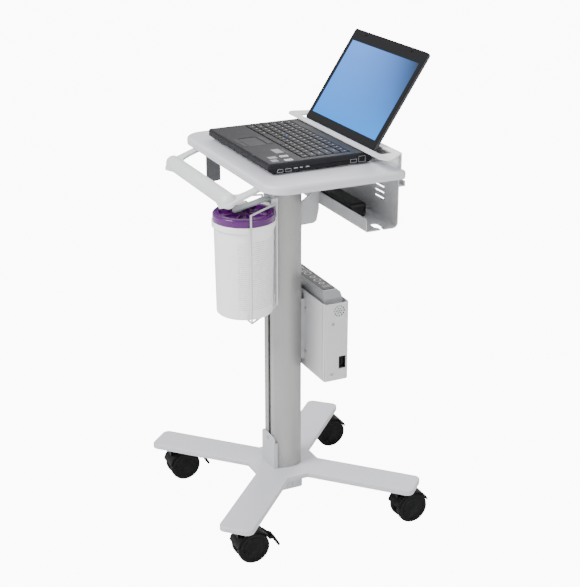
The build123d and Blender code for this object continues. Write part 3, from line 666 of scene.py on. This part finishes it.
def makeCapLabel():
    low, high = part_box("canister_flip_cap")
    m = capLook["margin"]
    label = addPatch("capLabel", low.x + m + capLook["hingeGap"], low.y + m, high.x - m, high.y - m,
                     high.z, capLook["thick"], capLook["corner"])
    finishPiece(label, "flip_cap", "labelPink")
    print("cap label made")


hubLook = {"radius": 0.0268, "ring": 0.004, "step": 0.0004}


def makeWheelCovers():
    for name in [n for n in nodes if n.startswith("wheel_")]:
        low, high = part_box(name)
        mid = (low + high) / 2
        side = 1 if ("right" in name) == ("outer" in name) else -1
        face = high.x if side > 0 else low.x
        cover = addRod(name + "_cover", hubLook["radius"], (face - side * 0.0008, mid.y, mid.z),
                       (face - side * 0.0001, mid.y, mid.z), 48)
        for inset, depth in ((hubLook["ring"], -hubLook["step"]), (0.012, 0.0), (0.001, hubLook["step"])):
            pickFaces(cover, lambda f: f.normal.x * side > 0.9 and max(f.center.yz - mid.yz) < 0.001
                      and f.area > 1e-6)
            bpy.ops.mesh.inset(thickness=inset, depth=depth)
            leaveEdit()
        finishPiece(smoothPiece(cover), name, "casterBlack")
    print("wheel covers made")


panelLook = {"rings": ((-0.020, 0.0055), (0.006, 0.0040), (0.030, 0.0055), (0.052, 0.0040)), "line": 0.0006,
             "bars": ((-0.070, -0.050), (-0.044, -0.030), (0.066, 0.080))}


def makePanelPrint():
    low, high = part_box("battery_panel")
    midY = (low.y + high.y) / 2
    marks = []
    for x, r in panelLook["rings"]:
        dropSelection()
        bpy.ops.mesh.primitive_torus_add(location=(x, midY, high.z), major_radius=r,
                                         minor_radius=panelLook["line"], major_segments=32, minor_segments=6)
        ring = startPiece("ring")
        ring.scale = (1.4, 1.4, 0.35)
        marks.append(settle(ring))
    for x0, x1 in panelLook["bars"]:
        for y in (midY - 0.006, midY, midY + 0.006):
            marks.append(addBox("bar", (x0, y - 0.0006, high.z - 0.0001), (x1, y + 0.0006, high.z + 0.0002)))
    finishPiece(joinPieces("panelPrint", marks), "battery", "printPale")
    print("panel print made")


boxLook = {"seam": 0.0008, "inset": 0.0115}


def makeBoxSeam():
    low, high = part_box("power_box_case")
    x = high.x - boxLook["inset"]
    seam = addBox("boxSeam", (x, low.y - 0.0002, low.z + 0.001),
                  (x + boxLook["seam"], low.y + 0.0006, high.z - 0.001))
    finishPiece(seam, "frame", "hookShadeAndSeamGrey")
    print("box seam made")


makeDeckDetails()
makeKeyPrint()
makeSideMarks()
makeLidRibs()
makeCapLabel()
makeWheelCovers()
makePanelPrint()
makeBoxSeam()
print("pieces made")

stageLook = {"floor": 0.85, "page": 12.0, "sky": 0.70, "size": 30.0, "shadowKept": 0.10}
lamps = {
    # name: place, size, power
    "keyLight": ((0.2, -2.6, 3.2), 1.6, 200),
    "sideLight": ((3.4, 0.6, 2.2), 2.0, 68),
    "backLight": ((-2.2, 2.0, 2.8), 1.6, 60),
}
view = {"place": (2.583, -1.2098, 1.6628), "turn": 64.56, "down": 21.46, "lens": 81.07}


def makeFloor():
    # pale paper floor, seen by the camera as a bright page with faint shadows
    dropSelection()
    bpy.ops.mesh.primitive_plane_add(size=stageLook["size"], location=(0, 0, -0.0005))
    floor = settle(startPiece("floor"))
    material = bpy.data.materials.new("floorPaper")
    material.use_nodes = True
    tree = material.node_tree
    shader = tree.nodes["Principled BSDF"]
    shader.inputs["Base Color"].default_value = (*[stageLook["floor"]] * 3, 1)
    shader.inputs["Roughness"].default_value = 0.9
    rays = tree.nodes.new("ShaderNodeLightPath")
    page = tree.nodes.new("ShaderNodeEmission")
    page.inputs["Strength"].default_value = stageLook["page"]
    mix = tree.nodes.new("ShaderNodeMixShader")
    seen = mathNode(tree, "MULTIPLY", rays.outputs["Is Camera Ray"], 1 - stageLook["shadowKept"])
    wire(tree, seen, mix.inputs[0])
    wire(tree, shader.outputs[0], mix.inputs[1])
    wire(tree, page.outputs[0], mix.inputs[2])
    wire(tree, mix.outputs[0], tree.nodes["Material Output"].inputs["Surface"])
    floor.data.materials.append(material)


def makeSky():
    world = bpy.data.worlds.new("studio")
    bpy.context.scene.world = world
    world.use_nodes = True
    tree = world.node_tree
    back = tree.nodes["Background"]
    back.inputs["Color"].default_value = (1, 1, 1, 1)
    rays = tree.nodes.new("ShaderNodeLightPath")
    extra = mathNode(tree, "MULTIPLY", rays.outputs["Is Camera Ray"], stageLook["page"])
    wire(tree, mathNode(tree, "ADD", extra, stageLook["sky"]), back.inputs["Strength"])


def addSoftbox(name, place, size, power):
    dropSelection()
    bpy.ops.object.light_add(type="AREA", location=place)
    lamp = bpy.context.object
    lamp.name = name
    lamp.data.shape = "SQUARE"
    lamp.data.size = size
    lamp.data.energy = power
    lamp.rotation_euler = (Vector((0, 0, 0.6)) - Vector(place)).to_track_quat("-Z", "Y").to_euler()


def addCamera():
    dropSelection()
    bpy.ops.object.camera_add(location=view["place"])
    cam = bpy.context.object
    cam.name = "cam"
    cam.rotation_euler = (math.radians(90 - view["down"]), 0, math.radians(view["turn"]))
    cam.data.lens = view["lens"]
    cam.data.sensor_width = 36
    cam.data.clip_start = 0.1
    cam.data.clip_end = 50
    bpy.context.scene.camera = cam


makeFloor()
makeSky()
for name, (place, size, power) in lamps.items():
    addSoftbox(name, place, size, power)
addCamera()
print("stage ready")
